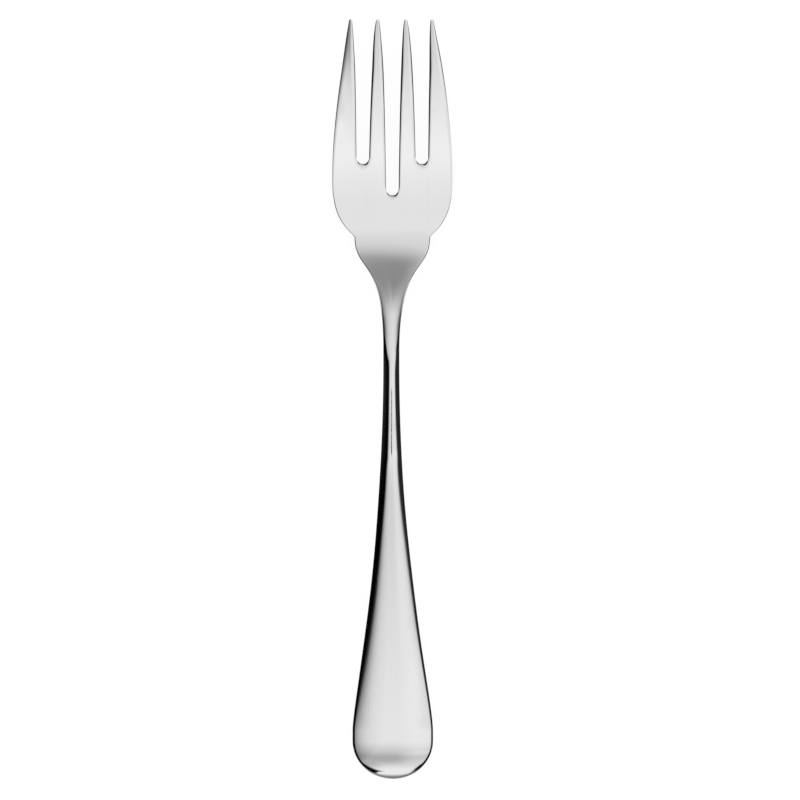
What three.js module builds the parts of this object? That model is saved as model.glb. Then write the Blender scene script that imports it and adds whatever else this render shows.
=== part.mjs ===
import * as THREE from "three";
import { mergeVertices } from "three/addons/utils/BufferGeometryUtils.js";

// Fish fork forged from one blank of stainless steel. Millimetres, +Z up. It lies on the table with its
// hollow side up, the handle towards -Y and the tines towards +Y. The origin is on the table, midway along.

// Lengths along the fork, from the end of the handle to the tips
const endRound = 9.2;
const handleParallel = 2.4;
const handleTaper = 90.1;
const stemParallel = 2.6;
const neckLength = 27.8;
const palmLength = 14.2;
const tineReach = 38.7;

// Widths across the fork
const handleWidth = 19.6;
const stemWidth = 3.88;
const shoulderWidth = 18.4;
const headWidth = 29.3;

// How far each outline curve leaves its end straight before it bends
const handleEase = 8;
const stemEase = 48.5;
const neckEase = 23;
const shoulderEase = 8.9;
const palmLead = 2.9;
const palmEase = 8.9;
const tineBelly = 15.2;

// Three slots, their roots above the shoulders, and the tips of the four tines between them
const slotWidth = 3.1;
const slotPitch = 7.2;
const outerRootRise = 17.8;
const middleRootRise = 10.2;
const tipPitch = 6.6;
const tipWidth = 0.76;
const slotFlareAlong = 0.85;
const slotFlareAcross = 0.3;

// Side view: the handle climbs from its end to the crest, and the neck falls to the flat of the heel
const crestBehind = 14.9;
const crestHeight = 10.3;
const endDip = 0.05;
const endSlope = 0.094;
const archStart = 66.4;
const archEnd = 21.3;
const crestEase = 28;
const heelEase = 8;
const heelAhead = 2;
const heelFlat = 5;
const headStraight = 17;
const tipHeight = 6;

// Thickness at four stations
const handleThickness = 3.2;
const stemThickness = 3.8;
const heelThickness = 2.3;
const tipThickness = 1.3;

// Crown: the upper face is arched from side to side. It is fullest on the handle, steady along the stem,
// drops where the neck begins and fades out along the neck. The rounded end falls away a little more.
const handleCrown = 1.47;
const stemCrown = 0.8;
const neckCrown = 0.47;
const flareCrown = 0.58;
const stemCrownFrom = 26.8;
const stemCrownTo = 5.3;
const neckCrownBehind = 0.3;
const flareCrownAhead = 11;
const crownFade = 33;
const endFall = 0.4;

// The arch is a parabola across the handle and the stem, and closer to a ridge where the neck begins
const crownPower = 2;
const neckPower = 1.36;
const ridgeAhead = 8;
const ridgeFade = 18;

// Rolled edges: width of the roll, and the slope that it reaches at the rim above and below. The roll is a
// wide flank on the stem, which narrows to a point along the start of the neck.
const handleRoll = 0.6;
const stemRoll = 0.9;
const flankRoll = 0.95;
const flareRoll = 0.26;
const palmRoll = 0.3;
const slotEdgeRoll = 0.55;
const tineRoll = 1.3;
const rootRoll = 1.4;
const flankBehind = 1.3;
const flareRollAhead = 8;
const endSteep = 0.24;
const handleSteep = 0.34;
const stemSteep = 0.05;
const flankSteep = 0.5;
const shoulderSteep = 0.7;
const headSteep = 0.32;
const slotSteep = 0.4;
const rootSteep = 0.65;
const handleUnderSteep = 1;
const stemUnderSteep = 1.4;
const headUnderSteep = 0.8;

// Fineness of the surface
const columnsPerTine = 2;
const edgeSteps = 4;
const slotSteps = 4;
const endSteps = 6;
const tineRows = 12;
const palmRows = 8;
const neckRows = 18;
const handleRows = 22;

// Stations, with half of the overall length on each side of the origin
const overall =
  endRound + handleParallel + handleTaper + stemParallel + neckLength + palmLength + tineReach;
const yEnd = -overall / 2;
const yRound = yEnd + endRound;
const yWide = yRound + handleParallel;
const yWaist = yWide + handleTaper;
const yNeck = yWaist + stemParallel;
const yShoulder = yNeck + neckLength;
const yPalm = yShoulder + palmLength;
const yTip = yPalm + tineReach;
const yTipRow = yTip - tipWidth / 2;

const { lerp, clamp, smoothstep } = THREE.MathUtils;

// Reads the x of a drawn curve where it passes station y. The curve climbs steadily along Y.
function across(curve, y) {
  let low = 0;
  let high = 1;
  for (let i = 0; i < 44; i++) {
    const middle = (low + high) / 2;
    if (curve.getPoint(middle).y < y) low = middle;
    else high = middle;
  }
  return curve.getPoint((low + high) / 2).x;
}

// A size that passes smoothly from one station to the next, given as [station, size] pairs along +Y
function graded(...stations) {
  return (y) => {
    let size = stations[0][1];
    for (let i = 1; i < stations.length; i++) {
      const [from, to] = [stations[i - 1], stations[i]];
      if (y > from[0]) size = lerp(from[1], to[1], smoothstep(y, from[0], to[0]));
    }
    return size;
  };
}

// Keeps what has been read once at a station
function remembered(read) {
  const known = new Map();
  return (y) => {
    if (!known.has(y)) known.set(y, read(y));
    return known.get(y);
  };
}

// Plan view, right half: handle side, waist, neck flare, shoulder corner, palm and outer edge of the head
const sideline = new THREE.Path();
sideline.moveTo(handleWidth / 2, yRound);
sideline.lineTo(handleWidth / 2, yWide);
sideline.bezierCurveTo(
  handleWidth / 2, yWide + handleEase, stemWidth / 2, yWaist - stemEase, stemWidth / 2, yWaist,
);
sideline.lineTo(stemWidth / 2, yNeck);
sideline.bezierCurveTo(
  stemWidth / 2, yNeck + neckEase,
  shoulderWidth / 2, yShoulder - shoulderEase, shoulderWidth / 2, yShoulder,
);
sideline.bezierCurveTo(
  shoulderWidth / 2 + palmLead, yShoulder + palmLead,
  headWidth / 2, yPalm - palmEase, headWidth / 2, yPalm,
);
sideline.quadraticCurveTo(
  headWidth / 2, yPalm + tineBelly, 1.5 * tipPitch + tipWidth / 2, yTipRow,
);
const halfWidth = remembered((y) => across(sideline, y));

// Side view: height of the underside above the table
const yCrest = yNeck - crestBehind;
const yHeelBack = yShoulder + heelAhead;
const yHeelFront = yHeelBack + heelFlat;
const sole = new THREE.Path();
sole.moveTo(-endDip, yEnd);
sole.bezierCurveTo(
  archStart * endSlope - endDip, yEnd + archStart, crestHeight, yCrest - archEnd, crestHeight, yCrest,
);
sole.bezierCurveTo(crestHeight, yCrest + crestEase, 0, yHeelBack - heelEase, 0, yHeelBack);
sole.lineTo(0, yHeelFront);
sole.quadraticCurveTo(0, yHeelFront + headStraight, tipHeight, yTip);
const soleHeight = remembered((y) => across(sole, y));

const thickness = graded(
  [yEnd, handleThickness], [yNeck, stemThickness], [yShoulder, heelThickness], [yTip, tipThickness],
);
const yCrownTo = yNeck - stemCrownTo;
const yNeckCrown = yNeck - neckCrownBehind;
const crown = graded(
  [yRound, handleCrown], [yNeck - stemCrownFrom, stemCrown], [yCrownTo, stemCrown],
  [yNeckCrown, neckCrown], [yNeck + flareCrownAhead, flareCrown], [yNeck + crownFade, 0],
);
const power = graded(
  [yCrownTo, crownPower], [yNeckCrown, neckPower], [yNeck + ridgeAhead, neckPower],
  [yNeck + ridgeFade, crownPower],
);

// Each slot: two walls that flare towards the tips above a half-round root
const slotRadius = slotWidth / 2;
const slots = [
  { root: -slotPitch, tip: -tipPitch, rise: outerRootRise },
  { root: 0, tip: 0, rise: middleRootRise },
  { root: slotPitch, tip: tipPitch, rise: outerRootRise },
].map(({ root, tip, rise }) => {
  const yArc = yShoulder + rise + slotRadius;
  const tipHalf = (tipPitch - tipWidth) / 2;
  const wall = (side) => {
    const from = new THREE.Vector2(root + side * slotRadius, yArc);
    const to = new THREE.Vector2(tip + side * tipHalf, yTipRow);
    const bend = new THREE.Vector2(
      lerp(from.x, to.x, slotFlareAcross), lerp(from.y, to.y, slotFlareAlong),
    );
    return remembered((y) => across(new THREE.QuadraticBezierCurve(from, bend, to), y));
  };
  return { root, yArc, left: wall(-1), right: wall(1) };
});
const [, middleSlot, rightSlot] = slots;

// Width of the rolled edges along the fork, held to a share of the narrower tine near the tips
const yFlank = yNeck - flankBehind;
const bodyRoll = graded(
  [yRound, handleRoll], [yCrownTo, stemRoll], [yFlank, flankRoll], [yNeck + flareRollAhead, flareRoll],
  [yShoulder, palmRoll], [yTip, tineRoll],
);
const wallRoll = graded([yPalm, slotEdgeRoll], [yTip, tineRoll]);
const tineLimit = remembered((y) => {
  const level = Math.min(y, yTipRow);
  if (level < rightSlot.yArc) return Infinity;
  const outer = halfWidth(level) - rightSlot.right(level);
  const inner = rightSlot.left(level) - middleSlot.right(level);
  return 0.4 * Math.min(outer, inner);
});
const edgeRoll = (y) => Math.min(bodyRoll(y), tineLimit(y));
const slotRoll = (y) => Math.min(wallRoll(y), tineLimit(y));

// Slope of the rolled edges at the rim
const upperSteep = graded(
  [yEnd, endSteep], [yRound, handleSteep], [yCrownTo, stemSteep], [yFlank, flankSteep],
  [yShoulder, shoulderSteep], [yPalm, headSteep], [yTipRow, slotSteep],
);
const underSteep = graded([yRound, handleUnderSteep], [yNeck, stemUnderSteep], [yShoulder, headUnderSteep]);

// The upper and the lower surface at a place in plan, less what a rolled edge takes there
function upper({ x, y, drop = 0 }) {
  const ahead = Math.max(0, (yRound - y) / endRound);
  const aside = Math.abs(x) / (y < yRound ? handleWidth / 2 : halfWidth(y));
  const arch = crown(y) * Math.hypot(aside, ahead) ** power(y) + endFall * ahead ** 3;
  return new THREE.Vector3(x, y, soleHeight(y) + thickness(y) - arch - drop);
}

function lower({ x, y, lift = 0 }) {
  return new THREE.Vector3(x, y, soleHeight(y) + lift);
}

// A rib runs from the face out over the rolled edge, down the wall and back in under the fork. The slope of
// the roll grows evenly from nothing on the face to its steepest at the rim.
function rib({ inner, edge, steep = upperSteep(edge.y) }) {
  const width = Math.hypot(inner.x - edge.x, inner.y - edge.y);
  const places = [];
  for (let step = 0; step <= edgeSteps; step++) {
    const share = Math.sin(((step / edgeSteps) * Math.PI) / 2);
    const bent = (width / 2) * share ** 2;
    places.push({
      x: lerp(inner.x, edge.x, share),
      y: lerp(inner.y, edge.y, share),
      drop: bent * steep,
      lift: bent * underSteep(edge.y),
    });
  }
  return [...places.map(upper), ...places.map(lower).reverse()];
}

// One side of a tine at a row: the rolled edge of a slot or, below its root, a line on through the palm.
// The roll is wider and steeper at the bottom of the root than along the walls.
const rootReach = slotRadius + rootRoll;
const yClosed = Math.min(...slots.map((slot) => slot.yArc)) - rootReach;
const faceHalf = (y) => halfWidth(y) - edgeRoll(y);

function slotSide(slot, side, y) {
  if (y >= slot.yArc) {
    const x = side < 0 ? slot.left(y) : slot.right(y);
    return { inner: { x: x + side * slotRoll(y), y }, edge: { x, y }, steep: slotSteep };
  }
  const turn = (slot.yArc - y) / rootReach;
  if (turn > 1 + 1e-9) {
    const shrink = Math.min(1, faceHalf(y) / faceHalf(yClosed));
    return { inner: { x: slot.root * shrink, y } };
  }
  const cosine = Math.sqrt(Math.max(0, 1 - turn * turn));
  return {
    inner: { x: slot.root + side * (slotRadius + slotRoll(slot.yArc)) * cosine, y },
    edge: { x: slot.root + side * slotRadius * cosine, y: slot.yArc - slotRadius * turn },
    steep: lerp(slotSteep, rootSteep, turn),
  };
}

function outerSide(side, y) {
  return { inner: { x: side * faceHalf(y), y }, edge: { x: side * halfWidth(y), y } };
}

// Rows of the surface from the tips to the rounded end. Slots and stations have rows of their own.
const fixedRows = [yTipRow, yPalm, yShoulder, yNeck, yWaist, yWide, yRound, yHeelFront, yHeelBack];
for (const slot of slots) {
  for (let i = 0; i <= slotSteps; i++) {
    fixedRows.push(slot.yArc - rootReach * Math.sin(((i / slotSteps) * Math.PI) / 2));
  }
}
const rows = [...new Set(fixedRows)];
function addRows(from, to, count) {
  for (let i = 1; i < count; i++) {
    const y = lerp(from, to, i / count);
    if (fixedRows.every((fixed) => Math.abs(fixed - y) > 0.3)) rows.push(y);
  }
}
addRows(yTipRow, rightSlot.yArc, tineRows);
addRows(rightSlot.yArc - rootReach, middleSlot.yArc, 3);
addRows(yClosed, yShoulder, palmRows);
addRows(yShoulder, yNeck, neckRows);
addRows(yWaist, yWide, handleRows);
rows.sort((a, b) => b - a);

// The skin is a patchwork of grids whose borders coincide.
const corners = [];
function addTriangle(a, b, c) {
  const smallest = Math.min(a.distanceTo(b), b.distanceTo(c), c.distanceTo(a));
  if (smallest > 1e-4) corners.push(a, b, c);
}
function addGrid(grid, turned) {
  for (let i = 0; i + 1 < grid.length; i++) {
    for (let j = 0; j + 1 < grid[i].length; j++) {
      const [a, b, c, d] = [grid[i][j], grid[i + 1][j], grid[i + 1][j + 1], grid[i][j + 1]];
      if (turned) {
        addTriangle(a, c, b);
        addTriangle(a, d, c);
      } else {
        addTriangle(a, b, c);
        addTriangle(a, c, d);
      }
    }
  }
}

const lastRow = [];
for (let tine = 0; tine < 4; tine++) {
  const sides = rows.map((y) => [
    tine === 0 ? outerSide(-1, y) : slotSide(slots[tine - 1], 1, y),
    tine === 3 ? outerSide(1, y) : slotSide(slots[tine], -1, y),
  ]);
  const face = rows.map((y, i) => {
    const [left, right] = sides[i];
    const places = [];
    for (let j = 0; j <= columnsPerTine; j++) {
      places.push({ x: lerp(left.inner.x, right.inner.x, j / columnsPerTine), y });
    }
    return places;
  });
  addGrid(face.map((row) => row.map(upper)), false);
  addGrid(face.map((row) => row.map(lower)), true);

  // Rolled edges on both sides of the tine, down to the root of the slot or on to the end of the handle
  for (const side of [0, 1]) {
    const ribs = sides.map((pair) => pair[side]).filter(({ edge }) => edge).map(rib);
    addGrid(ribs, side === 0);
  }

  // Rounded tip
  const [left, right] = sides[0];
  const centre = (left.edge.x + right.edge.x) / 2;
  const tip = face[0].map((inner, j) => {
    const angle = Math.PI * (1 - j / columnsPerTine);
    const edge = {
      x: centre + (Math.cos(angle) * tipWidth) / 2,
      y: inner.y + (Math.sin(angle) * tipWidth) / 2,
    };
    return rib({ inner, edge });
  });
  addGrid(tip, false);
  lastRow.push(...face.at(-1).slice(tine === 0 ? 0 : 1));
}

// Rounded end of the handle, half an ellipse in plan: a fan fills the face, and ribs roll over the rim.
const endRoll = edgeRoll(yRound);
const endPlace = (j, inset) => {
  const angle = Math.PI * (1 - j / (lastRow.length - 1));
  const x = Math.cos(angle) * (handleWidth / 2 - inset);
  return { x, y: yRound - Math.sin(angle) * (endRound - inset) };
};
const fan = lastRow.map((from, j) => {
  const to = endPlace(j, endRoll);
  const places = [];
  for (let step = 0; step <= endSteps; step++) {
    const share = step / endSteps;
    places.push({ x: lerp(from.x, to.x, share), y: lerp(from.y, to.y, share) });
  }
  return places;
});
addGrid(fan.map((places) => places.map(upper)), true);
addGrid(fan.map((places) => places.map(lower)), false);
addGrid(lastRow.map((place, j) => rib({ inner: endPlace(j, endRoll), edge: endPlace(j, 0) })), true);

const skin = mergeVertices(new THREE.BufferGeometry().setFromPoints(corners), 1e-4);
skin.computeVertexNormals();

const steel = new THREE.MeshStandardMaterial({ color: 0xd9d9d9, roughness: 0.12, metalness: 1 });
steel.name = "polished_steel";

const fork = new THREE.Mesh(skin, steel);
fork.name = "fish_fork";

const part = new THREE.Group();
part.name = "fish_fork_part";
part.add(fork);

export default part;
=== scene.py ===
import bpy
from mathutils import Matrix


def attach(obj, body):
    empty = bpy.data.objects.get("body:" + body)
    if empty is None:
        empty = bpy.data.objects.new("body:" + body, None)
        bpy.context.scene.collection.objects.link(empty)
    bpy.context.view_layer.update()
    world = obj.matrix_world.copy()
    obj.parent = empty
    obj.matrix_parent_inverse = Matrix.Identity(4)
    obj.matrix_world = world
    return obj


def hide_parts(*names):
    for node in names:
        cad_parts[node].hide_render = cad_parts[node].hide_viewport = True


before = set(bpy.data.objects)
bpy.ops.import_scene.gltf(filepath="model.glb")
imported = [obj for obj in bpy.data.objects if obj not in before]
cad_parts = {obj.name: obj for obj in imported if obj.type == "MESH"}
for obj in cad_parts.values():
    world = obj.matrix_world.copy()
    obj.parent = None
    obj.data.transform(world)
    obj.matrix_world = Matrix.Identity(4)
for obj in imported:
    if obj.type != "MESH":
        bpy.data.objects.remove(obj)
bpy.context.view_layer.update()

import math

import bmesh
import bpy
import numpy as np

scene = bpy.context.scene
scene.view_settings.view_transform = "Standard"
mm = 0.001
white = (1.0, 1.0, 1.0, 1.0)


# Shader wiring: an expression on wires adds its Math nodes

class Wire:
    def __init__(self, socket):
        self.socket = socket
        self.tree = socket.id_data

    @classmethod
    def node(cls, tree, kind, settings=None, sockets=None):
        made = tree.nodes.new(kind)
        for name, value in (settings or {}).items():
            if name == "stops":  # a ramp's stops, as (place, grey) pairs
                ramp = made.color_ramp
                while len(ramp.elements) < len(value):
                    ramp.elements.new(1.0)
                for element, (place, grey) in zip(ramp.elements, value):
                    element.position = place
                    element.color = (grey, grey, grey, 1.0)
            elif name == "blend":
                made.color_ramp.interpolation = value
            else:
                setattr(made, name, value)
        for name, value in (sockets or {}).items():
            target = made.inputs[name]
            if isinstance(value, Wire):
                tree.links.new(value.socket, target)
            else:
                target.default_value = value
        return cls(made.outputs[0]) if made.outputs else made

    def out(self, name):
        return Wire(self.socket.node.outputs[name])

    def math(self, operation, *others):
        values = dict(enumerate((self, *others)))
        return Wire.node(self.tree, "ShaderNodeMath", {"operation": operation}, values)

    def flipped(self, operation, other):
        return Wire.node(self.tree, "ShaderNodeMath", {"operation": operation}, {0: other, 1: self})

    def __add__(self, other): return self.math("ADD", other)
    def __sub__(self, other): return self.math("SUBTRACT", other)
    def __mul__(self, other): return self.math("MULTIPLY", other)
    def __truediv__(self, other): return self.math("DIVIDE", other)
    def __radd__(self, other): return self.flipped("ADD", other)
    def __rsub__(self, other): return self.flipped("SUBTRACT", other)
    def __rmul__(self, other): return self.flipped("MULTIPLY", other)
    def __rtruediv__(self, other): return self.flipped("DIVIDE", other)

    def eased(self, start, end):  # 0 at start, 1 at end, smooth between
        return Wire.node(
            self.tree, "ShaderNodeMapRange", {"interpolation_type": "SMOOTHSTEP"},
            {"Value": self, "From Min": start, "From Max": end},
        )


# The fork. Millimetres, in the frame of the CAD model: tines towards +Y, hollow side up, on the table.

forkSettings = {
    # lengths, from the end of the handle to the tips
    "endRound": 9.2, "handleParallel": 2.4, "handleTaper": 90.1, "stemParallel": 2.6,
    "neckLength": 27.8, "palmLength": 14.2, "tineReach": 38.7,
    # outline
    "handleWidth": 19.6, "stemWidth": 3.88, "shoulderWidth": 18.4, "headWidth": 29.3,
    "handleEase": 8, "stemEase": 48.5, "neckEase": 23, "shoulderEase": 8.9,
    "palmLead": 2.9, "palmEase": 8.9, "tineBelly": 15.2,
    # slots and tips
    "slotWidth": 3.1, "slotPitch": 7.2, "outerRootRise": 17.8, "middleRootRise": 10.2,
    "tipPitch": 6.6, "tipWidth": 0.76, "slotFlareAlong": 0.85, "slotFlareAcross": 0.3,
    # side view
    "crestBehind": 14.9, "crestHeight": 10.3, "endDip": 0.05, "endSlope": 0.0896,
    "archStart": 68.2, "archEnd": 19.65, "crestEase": 29.7, "heelEase": 8.7,
    "heelAhead": 2, "heelFlat": 5, "headStraight": 17, "tipHeight": 6,
    "handleThickness": 3.2, "stemThickness": 3.8, "heelThickness": 2.3, "tipThickness": 1.3,
    "thinFrom": 8.8, "thinTo": 2.8,  # the neck thins from here ahead of its start to here behind its end
    # crown of the upper side, where each part of it lies, and its power: 2 is round, less is a ridge
    "endCrown": 1.4, "handleCrown": 1.48, "stemCrown": 0.9, "neckCrown": 0.483, "flareCrown": 0.55,
    "endCrownTo": 1.5, "endCrownAhead": 6.5, "stemCrownFrom": 38, "stemCrownTo": 5.3,
    "neckCrownBehind": 0.3, "flareCrownAhead": 10.6, "crownFade": 31.8,
    "crownPower": 2, "neckPower": 1.51, "ridgeAhead": 9.4, "ridgeFade": 17.7, "endFall": 0.45,
    # rolled edges: widths, where they change, and the most of a tine's width that one may take
    "handleRoll": 0.6, "stemRoll": 0.9, "flankRoll": 1.05, "flareRoll": 0.31, "palmRoll": 0.3,
    "slotRoll": 0.55, "tineRoll": 1.3, "rootRoll": 1.4,
    "flankBehind": 1.3, "flareRollAhead": 5, "rollShare": 0.4,
    # slopes of the rolled edges at the rim
    "endSteep": 0.24, "handleSteep": 0.34, "stemSteep": -0.12, "flankSteep": 0.3, "shoulderSteep": 0.7,
    "headSteep": 0.32, "slotSteep": 0.47, "rootSteep": 0.65,
    "handleUnderSteep": 1.0, "stemUnderSteep": 1.4, "headUnderSteep": 0.8,
    # as made: the left tine is turned outward towards its tip, less at its two edges
    "leftTineTurn": 0.255, "turnAhead": 8, "turnBehind": 4.5, "outerFade": 0.78, "innerFade": 0.55,
    # the tips stand a little to the left
    "tipShifts": (-0.26, -0.26, -0.05, -0.24), "tipShiftLength": 14,
    # from the start of the neck: shifts to the right, and slopes down to the right
    "sway": [(-88, 0.11), (-66, 0), (-62, 0), (-30, -0.24), (0, -0.24), (24, 0)],
    "twist": [(-46, 0), (-29, -0.013), (-25.5, -0.05), (-4, -0.05), (1.5, 0.041), (16, 0.041)],
    # mesh: columns and rows of each part, and how close a row may come to a fixed one
    "columnsPerTine": 8, "edgeSteps": 10, "slotSteps": 12, "endSteps": 20,
    "tineRows": 56, "rootRows": 10, "palmRows": 26, "neckRows": 64, "stemRows": 6, "handleRows": 110,
    "wideRows": 4, "rowGap": 0.12,
    "weld": 2e-7, "sliver": 1e-8, "sharpAngle": 32,  # metres, metres, degrees
}
curveSamples = 3000  # points on each drawn curve
slack = 1e-9


def bezier(*points):  # points are (x, y)
    t = np.linspace(0, 1, curveSamples)[:, None]
    level = [np.array(point, float) for point in points]
    while len(level) > 1:
        level = [a * (1 - t) + b * t for a, b in zip(level, level[1:])]
    return level[0]


def drawn(*curves):  # x of a chain of curves as a function of y
    line = np.vstack(curves)
    return lambda y: np.interp(y, line[:, 1], line[:, 0])


def eased(y, start, end):
    s = np.clip((y - start) / (end - start), 0, 1)
    return s * s * (3 - 2 * s)


def graded(*stations):  # a size that passes smoothly from one station to the next
    def size(y):
        value = np.full(np.shape(y), float(stations[0][1]))
        for (y0, a), (y1, b) in zip(stations, stations[1:]):
            value = np.where(y > y0, a + (b - a) * eased(y, y0, y1), value)
        return value
    return size


def shapeFork(s):
    yEnd = -(s["endRound"] + s["handleParallel"] + s["handleTaper"] + s["stemParallel"]
             + s["neckLength"] + s["palmLength"] + s["tineReach"]) / 2
    yRound = yEnd + s["endRound"]
    yWide = yRound + s["handleParallel"]
    yWaist = yWide + s["handleTaper"]
    yNeck = yWaist + s["stemParallel"]
    yShoulder = yNeck + s["neckLength"]
    yPalm = yShoulder + s["palmLength"]
    yTip = yPalm + s["tineReach"]
    tipRadius = s["tipWidth"] / 2
    yTipRow = yTip - tipRadius

    # plan view, right half
    handle, stem, shoulder, head = (
        s[name] / 2 for name in ("handleWidth", "stemWidth", "shoulderWidth", "headWidth")
    )
    outerTip = 1.5 * s["tipPitch"] + tipRadius
    halfWidth = drawn(
        bezier((handle, yRound), (handle, yWide)),
        bezier((handle, yWide), (handle, yWide + s["handleEase"]),
               (stem, yWaist - s["stemEase"]), (stem, yWaist)),
        bezier((stem, yWaist), (stem, yNeck)),
        bezier((stem, yNeck), (stem, yNeck + s["neckEase"]),
               (shoulder, yShoulder - s["shoulderEase"]), (shoulder, yShoulder)),
        bezier((shoulder, yShoulder), (shoulder + s["palmLead"], yShoulder + s["palmLead"]),
               (head, yPalm - s["palmEase"]), (head, yPalm)),
        bezier((head, yPalm), (head, yPalm + s["tineBelly"]), (outerTip, yTipRow)),
    )

    # side view: the underside above the table
    yCrest = yNeck - s["crestBehind"]
    yHeelBack = yShoulder + s["heelAhead"]
    yHeelFront = yHeelBack + s["heelFlat"]
    crest = s["crestHeight"]
    endHeight = -s["endDip"]
    soleHeight = drawn(
        bezier((endHeight, yEnd), (endHeight + s["archStart"] * s["endSlope"], yEnd + s["archStart"]),
               (crest, yCrest - s["archEnd"]), (crest, yCrest)),
        bezier((crest, yCrest), (crest, yCrest + s["crestEase"]),
               (0, yHeelBack - s["heelEase"]), (0, yHeelBack)),
        bezier((0, yHeelBack), (0, yHeelFront)),
        bezier((0, yHeelFront), (0, yHeelFront + s["headStraight"]), (s["tipHeight"], yTip)),
    )
    thickness = graded((yEnd, s["handleThickness"]), (yNeck + s["thinFrom"], s["stemThickness"]),
                       (yShoulder - s["thinTo"], s["heelThickness"]), (yTip, s["tipThickness"]))
    yCrownTo, yNeckCrown = yNeck - s["stemCrownTo"], yNeck - s["neckCrownBehind"]
    crown = graded((yRound + s["endCrownTo"], s["endCrown"]), (yRound + s["endCrownAhead"], s["handleCrown"]),
                   (yNeck - s["stemCrownFrom"], s["stemCrown"]),
                   (yCrownTo, s["stemCrown"]), (yNeckCrown, s["neckCrown"]),
                   (yNeck + s["flareCrownAhead"], s["flareCrown"]), (yNeck + s["crownFade"], 0))
    crownPower = graded((yCrownTo, s["crownPower"]), (yNeckCrown, s["neckPower"]),
                        (yNeck + s["ridgeAhead"], s["neckPower"]), (yNeck + s["ridgeFade"], s["crownPower"]))

    # slots between the tines
    slotRadius = s["slotWidth"] / 2
    tipHalf = (s["tipPitch"] - s["tipWidth"]) / 2
    slots = []
    for place, rise in ((-1, "outerRootRise"), (0, "middleRootRise"), (1, "outerRootRise")):
        root, tip = place * s["slotPitch"], place * s["tipPitch"]
        yArc = yShoulder + s[rise] + slotRadius
        walls = []
        for side in (-1, 1):
            a = np.array((root + side * slotRadius, yArc))
            b = np.array((tip + side * tipHalf, yTipRow))
            bend = a + (b - a) * (s["slotFlareAcross"], s["slotFlareAlong"])
            walls.append(drawn(bezier(a, bend, b)))
        slots.append({"root": root, "yArc": yArc, "left": walls[0], "right": walls[1]})
    leftSlot, middleSlot, rightSlot = slots

    # rolled edges: their width, and how steep they are at the rim above and below
    yFlank = yNeck - s["flankBehind"]
    bodyRoll = graded((yRound, s["handleRoll"]), (yCrownTo, s["stemRoll"]), (yFlank, s["flankRoll"]),
                      (yNeck + s["flareRollAhead"], s["flareRoll"]), (yShoulder, s["palmRoll"]),
                      (yTip, s["tineRoll"]))
    wallRoll = graded((yPalm, s["slotRoll"]), (yTip, s["tineRoll"]))
    upperSteep = graded((yEnd, s["endSteep"]), (yRound, s["handleSteep"]), (yCrownTo, s["stemSteep"]),
                        (yFlank, s["flankSteep"]), (yShoulder, s["shoulderSteep"]),
                        (yPalm, s["headSteep"]), (yTipRow, s["slotSteep"]))
    underSteep = graded((yRound, s["handleUnderSteep"]), (yNeck, s["stemUnderSteep"]),
                        (yShoulder, s["headUnderSteep"]))

    def rollWithin(roll, y):
        level = np.minimum(y, yTipRow)
        outer = halfWidth(level) - rightSlot["right"](level)
        inner = rightSlot["left"](level) - middleSlot["right"](level)
        most = s["rollShare"] * np.minimum(outer, inner)
        return np.where(level < rightSlot["yArc"], roll, np.minimum(roll, most))

    edgeRoll = lambda y: rollWithin(bodyRoll(y), y)
    slotRoll = lambda y: rollWithin(wallRoll(y), y)

    def upper(x, y, drop=0):
        ahead = np.clip((yRound - y) / s["endRound"], 0, 1)
        outward = np.where(y >= yRound, np.abs(x) / halfWidth(y), np.hypot(x / handle, ahead))
        arch = crown(y) * outward ** crownPower(y) + s["endFall"] * ahead ** 3
        return np.stack(np.broadcast_arrays(x, y, soleHeight(y) + thickness(y) - arch - drop), -1)

    def lower(x, y, lift=0):
        return np.stack(np.broadcast_arrays(x, y, soleHeight(y) + lift), -1)

    steps = np.arange(s["edgeSteps"] + 1) / s["edgeSteps"]
    share = 1 - np.sin(steps * math.pi / 2)

    def rib(inner, edge, steep=None):  # from the face over the rolled edge, down the wall and back in under
        x = edge[0] + (inner[0] - edge[0]) * share
        y = edge[1] + (inner[1] - edge[1]) * share
        bent = math.dist(inner, edge) / 2 * (1 - share) ** 2
        steep = upperSteep(edge[1]) if steep is None else steep
        return np.vstack((upper(x, y, steep * bent), lower(x, y, underSteep(edge[1]) * bent)[::-1]))

    # sides of a tine at a row, as (inner place, edge place or None) and, on a slot, the slope at the rim
    rootReach = slotRadius + s["rootRoll"]
    yClosed = min(slot["yArc"] for slot in slots) - rootReach
    faceHalf = lambda y: float(halfWidth(y) - edgeRoll(y))

    def slotSide(slot, side, y):
        if y >= slot["yArc"]:
            x = float(slot["left" if side < 0 else "right"](y))
            return (x + side * float(slotRoll(y)), y), (x, y), s["slotSteep"]
        turn = (slot["yArc"] - y) / rootReach
        if turn > 1 + slack:
            return (slot["root"] * min(1, faceHalf(y) / faceHalf(yClosed)), y), None
        cosine = math.sqrt(max(0, 1 - turn * turn))
        return (
            (slot["root"] + side * (slotRadius + float(slotRoll(slot["yArc"]))) * cosine, y),
            (slot["root"] + side * slotRadius * cosine, slot["yArc"] - slotRadius * turn),
            s["slotSteep"] * (1 - turn) ** 2 + s["rootSteep"] * turn ** 2,
        )

    def outerSide(side, y):
        return (side * faceHalf(y), y), (side * float(halfWidth(y)), y)

    # rows of the surface
    fixedRows = {yTipRow, yPalm, yShoulder, yNeck, yWaist, yWide, yRound}
    for slot in slots:
        for i in range(s["slotSteps"] + 1):
            fixedRows.add(slot["yArc"] - rootReach * math.sin(i / s["slotSteps"] * math.pi / 2))
    rows = set(fixedRows)

    def addRows(start, end, count):
        for y in np.linspace(start, end, count + 1)[1:-1]:
            if min(abs(y - fixed) for fixed in fixedRows) > s["rowGap"]:
                rows.add(float(y))

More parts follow.
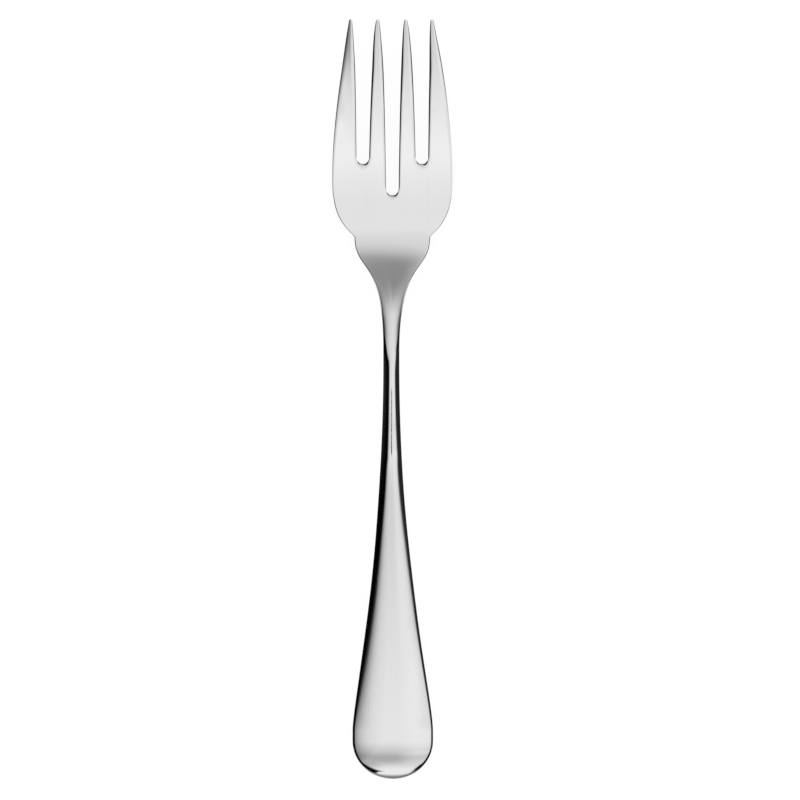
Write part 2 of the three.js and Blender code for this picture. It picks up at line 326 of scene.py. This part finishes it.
    addRows(yTipRow, rightSlot["yArc"], s["tineRows"])
    addRows(rightSlot["yArc"] - rootReach, middleSlot["yArc"], s["rootRows"])
    addRows(yClosed, yShoulder, s["palmRows"])
    addRows(yShoulder, yNeck, s["neckRows"])
    addRows(yNeck, yWaist, s["stemRows"])
    addRows(yWaist, yWide, s["handleRows"])
    addRows(yWide, yRound, s["wideRows"])
    rows = sorted(rows, reverse=True)

    # the fork as made: points moved off the drawn shape
    fromNeck = lambda stations: [(yNeck + ahead, size) for ahead, size in stations]
    sway = graded(*fromNeck(s["sway"]))
    twist = graded(*fromNeck(s["twist"]), (yShoulder, 0))

    def asMade(grid, tine):
        x, y = grid[..., 0], grid[..., 1]
        if tine == 0:
            level = np.clip(y, leftSlot["yArc"], yTipRow)
            outerEdge, innerEdge = -halfWidth(level), leftSlot["left"](level)
            outerRoll, innerRoll = edgeRoll(level), slotRoll(level)
            atOuter = np.clip(1 - (x - outerEdge) / outerRoll, 0, 1)
            atInner = np.clip(1 - (innerEdge - x) / innerRoll, 0, 1)
            turned = (x - (innerEdge + outerEdge) / 2 + s["outerFade"] * outerRoll * atOuter ** 2
                      - s["innerFade"] * innerRoll * atInner ** 2)
            turn = s["leftTineTurn"] * eased(y, yPalm + s["turnAhead"], yTip - s["turnBehind"])
            grid[..., 2] += turn * turned
        grid[..., 2] -= twist(y) * x
        grid[..., 0] += s["tipShifts"][tine] * eased(y, yTip - s["tipShiftLength"], yTip) + sway(y)
        return grid

    grids = []  # (points, turned)
    columns = s["columnsPerTine"]
    lastRow = []
    for tine in range(4):
        sides = [
            (outerSide(-1, y) if tine == 0 else slotSide(slots[tine - 1], 1, y),
             outerSide(1, y) if tine == 3 else slotSide(slots[tine], -1, y))
            for y in rows
        ]
        x = np.array([np.linspace(left[0][0], right[0][0], columns + 1) for left, right in sides])
        y = np.repeat(np.array(rows)[:, None], columns + 1, 1)
        parts = [(upper(x, y), False), (lower(x, y), True)]
        for side in (0, 1):
            parts.append((np.array([rib(*places[side]) for places in sides if places[side][1]]), side == 0))
        centre = sum(places[1][0] for places in sides[0]) / 2
        tip = []
        for j in range(columns + 1):
            angle = math.pi * (1 - j / columns)
            edge = (centre + math.cos(angle) * tipRadius, rows[0] + math.sin(angle) * tipRadius)
            tip.append(rib((x[0, j], rows[0]), edge))
        parts.append((np.array(tip), False))
        grids += [(asMade(grid, tine), turned) for grid, turned in parts]
        lastRow += list(x[-1])[0 if tine == 0 else 1:]

    # rounded end of the handle
    endRoll = float(edgeRoll(yRound))

    def endPlace(j, inset):
        angle = math.pi * (1 - j / (len(lastRow) - 1))
        return math.cos(angle) * (handle - inset), yRound - math.sin(angle) * (s["endRound"] - inset)

    along = np.linspace(0, 1, s["endSteps"] + 1)
    fanTop, fanUnder, rim = [], [], []
    for j, x in enumerate(lastRow):
        endX, endY = endPlace(j, endRoll)
        place = (x + (endX - x) * along, yRound + (endY - yRound) * along)
        fanTop.append(upper(*place))
        fanUnder.append(lower(*place))
        rim.append(rib((endX, endY), endPlace(j, 0)))
    ends = [(fanTop, True), (fanUnder, False), (rim, True)]
    return grids + [(asMade(np.array(grid), 1), turned) for grid, turned in ends]


def buildMesh(name, grids, s):
    mesh = bpy.data.meshes.new(name)
    points, faces = [], []
    start = 0
    for grid, turned in grids:
        rows, columns = grid.shape[:2]
        points.append(grid.reshape(-1, 3) * mm)
        i, j = np.meshgrid(np.arange(rows - 1), np.arange(columns - 1), indexing="ij")
        a = start + (i * columns + j).ravel()
        quads = np.stack((a, a + columns, a + columns + 1, a + 1), 1)
        faces.append(quads[:, ::-1] if turned else quads)
        start += rows * columns
    mesh.from_pydata(np.vstack(points).tolist(), [], np.vstack(faces).tolist())
    work = bmesh.new()
    work.from_mesh(mesh)
    bmesh.ops.remove_doubles(work, verts=work.verts, dist=s["weld"])
    bmesh.ops.dissolve_degenerate(work, edges=work.edges, dist=s["sliver"])
    bmesh.ops.recalc_face_normals(work, faces=work.faces)
    work.to_mesh(mesh)
    openEdges = sum(not edge.is_manifold for edge in work.edges)
    work.free()
    mesh.shade_smooth()
    mesh.set_sharp_from_angle(angle=math.radians(s["sharpAngle"]))
    print("fork mesh:", len(mesh.polygons), "faces,", openEdges, "open edges")
    return mesh


fork = bpy.data.objects.new("fork_body", buildMesh("fork_body", shapeFork(forkSettings), forkSettings))
scene.collection.objects.link(fork)
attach(fork, "root")
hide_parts("fish_fork")


# Polished steel: fine lengthwise polishing, soft clouds in the gloss, a few hairlines and worn edges, and a
# painted reflection: a dark line along the stem's crest

steelSettings = {
    "colour": (0.82, 0.82, 0.82, 1.0),
    # noises: scale along x, y and z, overall scale, detail, roughness
    "streakNoise": ((1.0, 0.03, 1.0), 5200, 3.0, 0.6), "cloudNoise": ((1.0, 0.35, 1.0), 160, 3.0, 0.5),
    "hairNoise": ((1.0, 0.012, 1.0), 2600, 1.0, 0.5), "reflectedLineNoise": ((0.01, 1.0, 0.01), 900, 1.0, 0.5),
    "hairFrom": (0.66, 0.72), "hairClouds": (0.45, 0.65), "wearFrom": (0.53, 0.62),
    # roughness, and what each finish adds to it
    "gloss": 0.06, "streaks": 0.03, "clouds": 0.03, "hairlines": 0.10, "wear": 0.06,
    # darker by; line is the painted reflection, a dark line painted along the stem's crest
    "hairShade": 0.05, "cloudShade": 0.03, "line": 0.95,
    "bump": 0.05, "bumpDepth": 0.00001,
    # the painted reflection line on the stem, in metres
    "reflectedLineX": -0.00017, "reflectedLineEdge": (0.00006, 0.00018), "reflectedLineStart": (-0.0146, -0.0125),
    "reflectedLineStop": (0.0015, 0.0034), "reflectedLineBreaks": 0.4, "reflectedLineBreakFrom": (0.3, 0.6),
    "reflectedLinePale": 0.25, "reflectedLinePaleFrom": (-0.009, -0.004),
}


def makeSteel(s):
    material = bpy.data.materials.new("polished_steel_finish")
    material.use_nodes = True
    tree = material.node_tree
    tree.nodes.clear()
    place = Wire.node(tree, "ShaderNodeTexCoord").out("Object")

    def noise(stretch, scale, detail, rough):
        stretched = Wire.node(tree, "ShaderNodeMapping", None, {"Vector": place, "Scale": stretch})
        return Wire.node(
            tree, "ShaderNodeTexNoise", None,
            {"Vector": stretched, "Scale": scale, "Detail": detail, "Roughness": rough},
        )

    streaks = noise(*s["streakNoise"])
    clouds = noise(*s["cloudNoise"])
    hairlines = noise(*s["hairNoise"]).eased(*s["hairFrom"]) * clouds.eased(*s["hairClouds"])
    wear = Wire.node(tree, "ShaderNodeNewGeometry").out("Pointiness").eased(*s["wearFrom"])
    # a painted reflection: a fine dark line along the crest of the stem, where something dark above would be
    # mirrored, fainter here and there
    x = Wire.node(tree, "ShaderNodeSeparateXYZ", None, {0: place})
    y = x.out("Y")
    beside = (x - s["reflectedLineX"]).math("ABSOLUTE")
    line = (1 - beside.eased(*s["reflectedLineEdge"])) * y.eased(*s["reflectedLineStart"]) * (1 - y.eased(*s["reflectedLineStop"]))
    whole = noise(*s["reflectedLineNoise"]).eased(*s["reflectedLineBreakFrom"])
    line = line * (1 - s["reflectedLineBreaks"] + s["reflectedLineBreaks"] * whole)
    line = line * (1 - s["reflectedLinePale"] * y.eased(*s["reflectedLinePaleFrom"]))
    roughness = s["gloss"] + s["streaks"] * (streaks - 0.5) + s["clouds"] * (clouds - 0.5)
    roughness = roughness + s["hairlines"] * hairlines + s["wear"] * wear
    # the colour is darkened by the hairlines and clouds, which are the steel's own tone, and by the painted
    # reflection line
    shade = 1 - s["hairShade"] * hairlines - s["cloudShade"] * (clouds - 0.5) - s["line"] * line
    grey = Wire.node(tree, "ShaderNodeCombineColor", None, {0: shade, 1: shade, 2: shade})
    colour = Wire.node(
        tree, "ShaderNodeMix", {"data_type": "RGBA", "blend_type": "MULTIPLY"},
        {0: 1.0, 6: s["colour"], 7: grey},
    ).out(2)
    bump = Wire.node(
        tree, "ShaderNodeBump", None,
        {"Strength": s["bump"], "Distance": s["bumpDepth"], "Height": streaks - hairlines},
    )
    steel = Wire.node(
        tree, "ShaderNodeBsdfPrincipled", None,
        {"Base Color": colour, "Metallic": 1.0, "Roughness": roughness, "Normal": bump},
    )
    Wire.node(tree, "ShaderNodeOutputMaterial", None, {"Surface": steel})
    return material


fork.data.materials.append(makeSteel(steelSettings))
print("steel done")


# Floor: white, and keeps a soft shadow

floorSettings = {"half": 3.0, "below": 0.0002, "shadow": 0.2, "level": 1.025, "colour": (0.9, 0.9, 0.9, 1.0)}


def makeFloor(s):
    mesh = bpy.data.meshes.new("table_top")
    r = s["half"]
    mesh.from_pydata([(-r, -r, 0), (r, -r, 0), (r, r, 0), (-r, r, 0)], [], [(0, 1, 2, 3)])
    floor = bpy.data.objects.new("table_top", mesh)
    floor.location.z = -s["below"]
    material = bpy.data.materials.new("white_table")
    material.use_nodes = True
    tree = material.node_tree
    tree.nodes.clear()
    level = (s["level"] - s["shadow"] * s["colour"][0]) / (1 - s["shadow"])
    glow = Wire.node(tree, "ShaderNodeEmission", None, {"Color": white, "Strength": level})
    paint = Wire.node(tree, "ShaderNodeBsdfDiffuse", None, {"Color": s["colour"]})
    both = Wire.node(tree, "ShaderNodeMixShader", None, {0: s["shadow"], 1: glow, 2: paint})
    Wire.node(tree, "ShaderNodeOutputMaterial", None, {"Surface": both})
    mesh.materials.append(material)
    scene.collection.objects.link(floor)


makeFloor(floorSettings)
print("floor done")


# Studio: even white light, and for reflections a pale room with dark cards to the left and right.
# Angles are degrees from straight up, across towards +X and along towards +Y. Bearings are degrees round
# the upright: 0 behind the handle, plus to the right, 180 beyond the tips. Turns are bearings without sign.

studioSettings = {
    "across": [
        (-90, 0.8), (-89, 0.4), (-86, 0.01), (-46, 0.0), (-38.3, 0.0), (-35.8, 0.01), (-34, 0.06),
        (-32.4, 0.25), (-28.5, 0.57), (-24.7, 0.77), (-21, 0.87), (-18, 0.92), (-14, 0.955), (-8, 0.99),
        (0, 1.0), (8, 1.01), (14, 1.03), (20, 1.05), (26, 1.04), (31, 1.0), (35, 0.92), (37.5, 0.8),
        (39.5, 0.5), (42, 0.15), (46, 0.01), (86, 0.01), (89, 0.4), (90, 0.8),
    ],
    "along": [
        (-90, 0.5), (-80, 0.35), (-72, 0.5), (-64, 0.92), (-55, 1.0), (-45.5, 1.0), (-42.5, 0.92),
        (-39.5, 0.77), (-35.5, 0.56), (-31.5, 0.46), (-27.7, 0.52), (-24.5, 0.66), (-20.5, 0.755),
        (-17.5, 0.825), (-15, 0.9), (-12, 0.975), (-8.7, 1.05), (-6, 1.05), (-4, 0.98), (1, 0.93),
        (16, 0.862), (34, 0.8), (40, 0.686), (43, 0.678), (45.5, 0.632), (48.3, 0.595), (50.6, 0.524),
        (53.6, 0.459), (60, 0.304), (74, 0.276), (80, 0.7), (90, 0.9),
    ],
    "rampTop": 1.1,  # levels are held below 1 in a ramp
    # low down, the cards stand only at the sides and the shades along the fork only at its ends
    "lowLean": (56, 62), "cardTurns": (28, 40, 160, 176), "lowCardTurns": (60, 72, 108, 120),
    "lowSideTurns": (30, 45, 135, 150),
    # beyond the tips the dim card is bowed, less to the right
    "bow": 4.3, "bowAside": (0, 13.4), "bowAlong": (36.3, 42.8), "bowSlant": 0.105,
    "bowLess": 2, "bowLessAcross": (0, 20),
    # behind the handle the dim patch reaches further down to the left
    "tail": 6, "tailAcross": (-26, -4), "tailAlong": (-41, -33),
    # and is lighter to the right, and the light ahead of it is dimmer beside the middle
    "liftFront": 0.1, "liftFrontAlong": (-30, -22, -19, -14),
    "liftBack": 0.38, "liftBackAlong": (-42, -33, -28, -21), "liftAcross": (0, 20),
    "dim": 0.15, "dimAside": (3, 9), "dimAlong": (-13, -10, -4, 0),
    # there a dark rail reaches up in two corners, and a dim rim lies below
    "nearTurns": (60, 70),
    "leftRailLean": (43.2, 44.8), "leftRailRise": 4.8, "leftRailRiseOver": (-34, -5),
    "leftRailFoot": (48.4, 49.8), "leftRailDrop": 14, "leftRailDropOver": (-21, -11),
    "leftRailEnd": (-10, -6),
    "rightRailLean": (48.8, 50.4), "rightRailRise": 5, "rightRailRiseOver": (14, 30),
    "rightRailFoot": (61, 67), "rightRailEnd": (14, 23),
    "rim": 0.7, "rimLeans": (51.5, 56, 70, 78),
}


def makeStudio(s):
    world = bpy.data.worlds.new("studio")
    scene.world = world
    world.use_nodes = True
    world.cycles.sampling_method = "NONE"
    tree = world.node_tree
    tree.nodes.clear()
    direction = Wire.node(tree, "ShaderNodeTexCoord").out("Generated")
    x = Wire.node(tree, "ShaderNodeSeparateXYZ", None, {0: direction})
    y, z = x.out("Y"), x.out("Z")
    degrees = 180 / math.pi

    def ramp(angle, stops):  # from -90 to 90 degrees
        places = [((a + 90) / 180, level / s["rampTop"]) for a, level in stops]
        found = Wire.node(
            tree, "ShaderNodeValToRGB", {"blend": "B_SPLINE", "stops": places}, {0: (angle + 90) / 180},
        )
        return found * s["rampTop"]

    def between(angle, a, b, c, d):  # rises from a to b, falls from c to d
        return angle.eased(a, b) * (1 - angle.eased(c, d))

    across = x.math("ARCTAN2", z) * degrees
    along = y.math("ARCTAN2", z) * degrees
    lean = z.math("ARCCOSINE") * degrees
    bearing = x.math("ARCTAN2", 0 - y) * degrees
    turn = bearing.math("ABSOLUTE")
    aside = across.math("ABSOLUTE")
    low = lean.eased(*s["lowLean"])

    card = between(turn, *s["cardTurns"]) * (1 - low * (1 - between(turn, *s["lowCardTurns"])))
    sideways = 1 - card * (1 - ramp(across, s["across"]))

    bow = (s["bow"] - s["bowLess"] * across.eased(*s["bowLessAcross"])) * aside.eased(*s["bowAside"])
    bow = bow * (along - s["bowSlant"] * aside).eased(*s["bowAlong"])
    tail = s["tail"] * (1 - across.eased(*s["tailAcross"])) * (1 - along.eased(*s["tailAlong"]))
    shades = 1 - low * between(turn, *s["lowSideTurns"])
    lengthways = 1 - shades * (1 - ramp(along + bow + tail, s["along"]))

    lift = s["liftFront"] * between(along, *s["liftFrontAlong"])
    lift = (lift + s["liftBack"] * between(along, *s["liftBackAlong"])) * across.eased(*s["liftAcross"])
    lift = 1 + lift - s["dim"] * aside.eased(*s["dimAside"]) * between(along, *s["dimAlong"])

    near = 1 - turn.eased(*s["nearTurns"])
    leftTop = lean - s["leftRailRise"] * bearing.eased(*s["leftRailRiseOver"])
    leftFoot = lean - s["leftRailDrop"] * (1 - bearing.eased(*s["leftRailDropOver"]))
    leftRail = leftTop.eased(*s["leftRailLean"]) * (1 - bearing.eased(*s["leftRailEnd"]))
    leftRail = leftRail * (1 - leftFoot.eased(*s["leftRailFoot"]))
    rightTop = lean + s["rightRailRise"] * bearing.eased(*s["rightRailRiseOver"])
    rightRail = rightTop.eased(*s["rightRailLean"]) * bearing.eased(*s["rightRailEnd"])
    rightRail = rightRail * (1 - lean.eased(*s["rightRailFoot"]))
    rim = s["rim"] * between(lean, *s["rimLeans"])

    studio = sideways * lengthways * lift * (1 - near * leftRail) * (1 - near * rightRail) * (1 - near * rim)
    glossy = Wire.node(tree, "ShaderNodeLightPath").out("Is Glossy Ray")
    level = 1 + glossy * (studio - 1)
    light = Wire.node(tree, "ShaderNodeBackground", None, {"Color": white, "Strength": level})
    Wire.node(tree, "ShaderNodeOutputWorld", None, {"Surface": light})


makeStudio(studioSettings)
print("studio done")


# Camera, straight above

cameraSettings = {
    "height": 3.0, "focus": 0.007, "frameWidth": 0.19466, "x": 0.00187, "y": -0.00015, "sensor": 36,
}


def makeCamera(s):
    data = bpy.data.cameras.new("camera")
    data.sensor_width = s["sensor"]
    data.lens = s["sensor"] * (s["height"] - s["focus"]) / s["frameWidth"]
    camera = bpy.data.objects.new("camera", data)
    camera.location = (s["x"], s["y"], s["height"])
    scene.collection.objects.link(camera)
    scene.camera = camera


makeCamera(cameraSettings)
print("camera done")
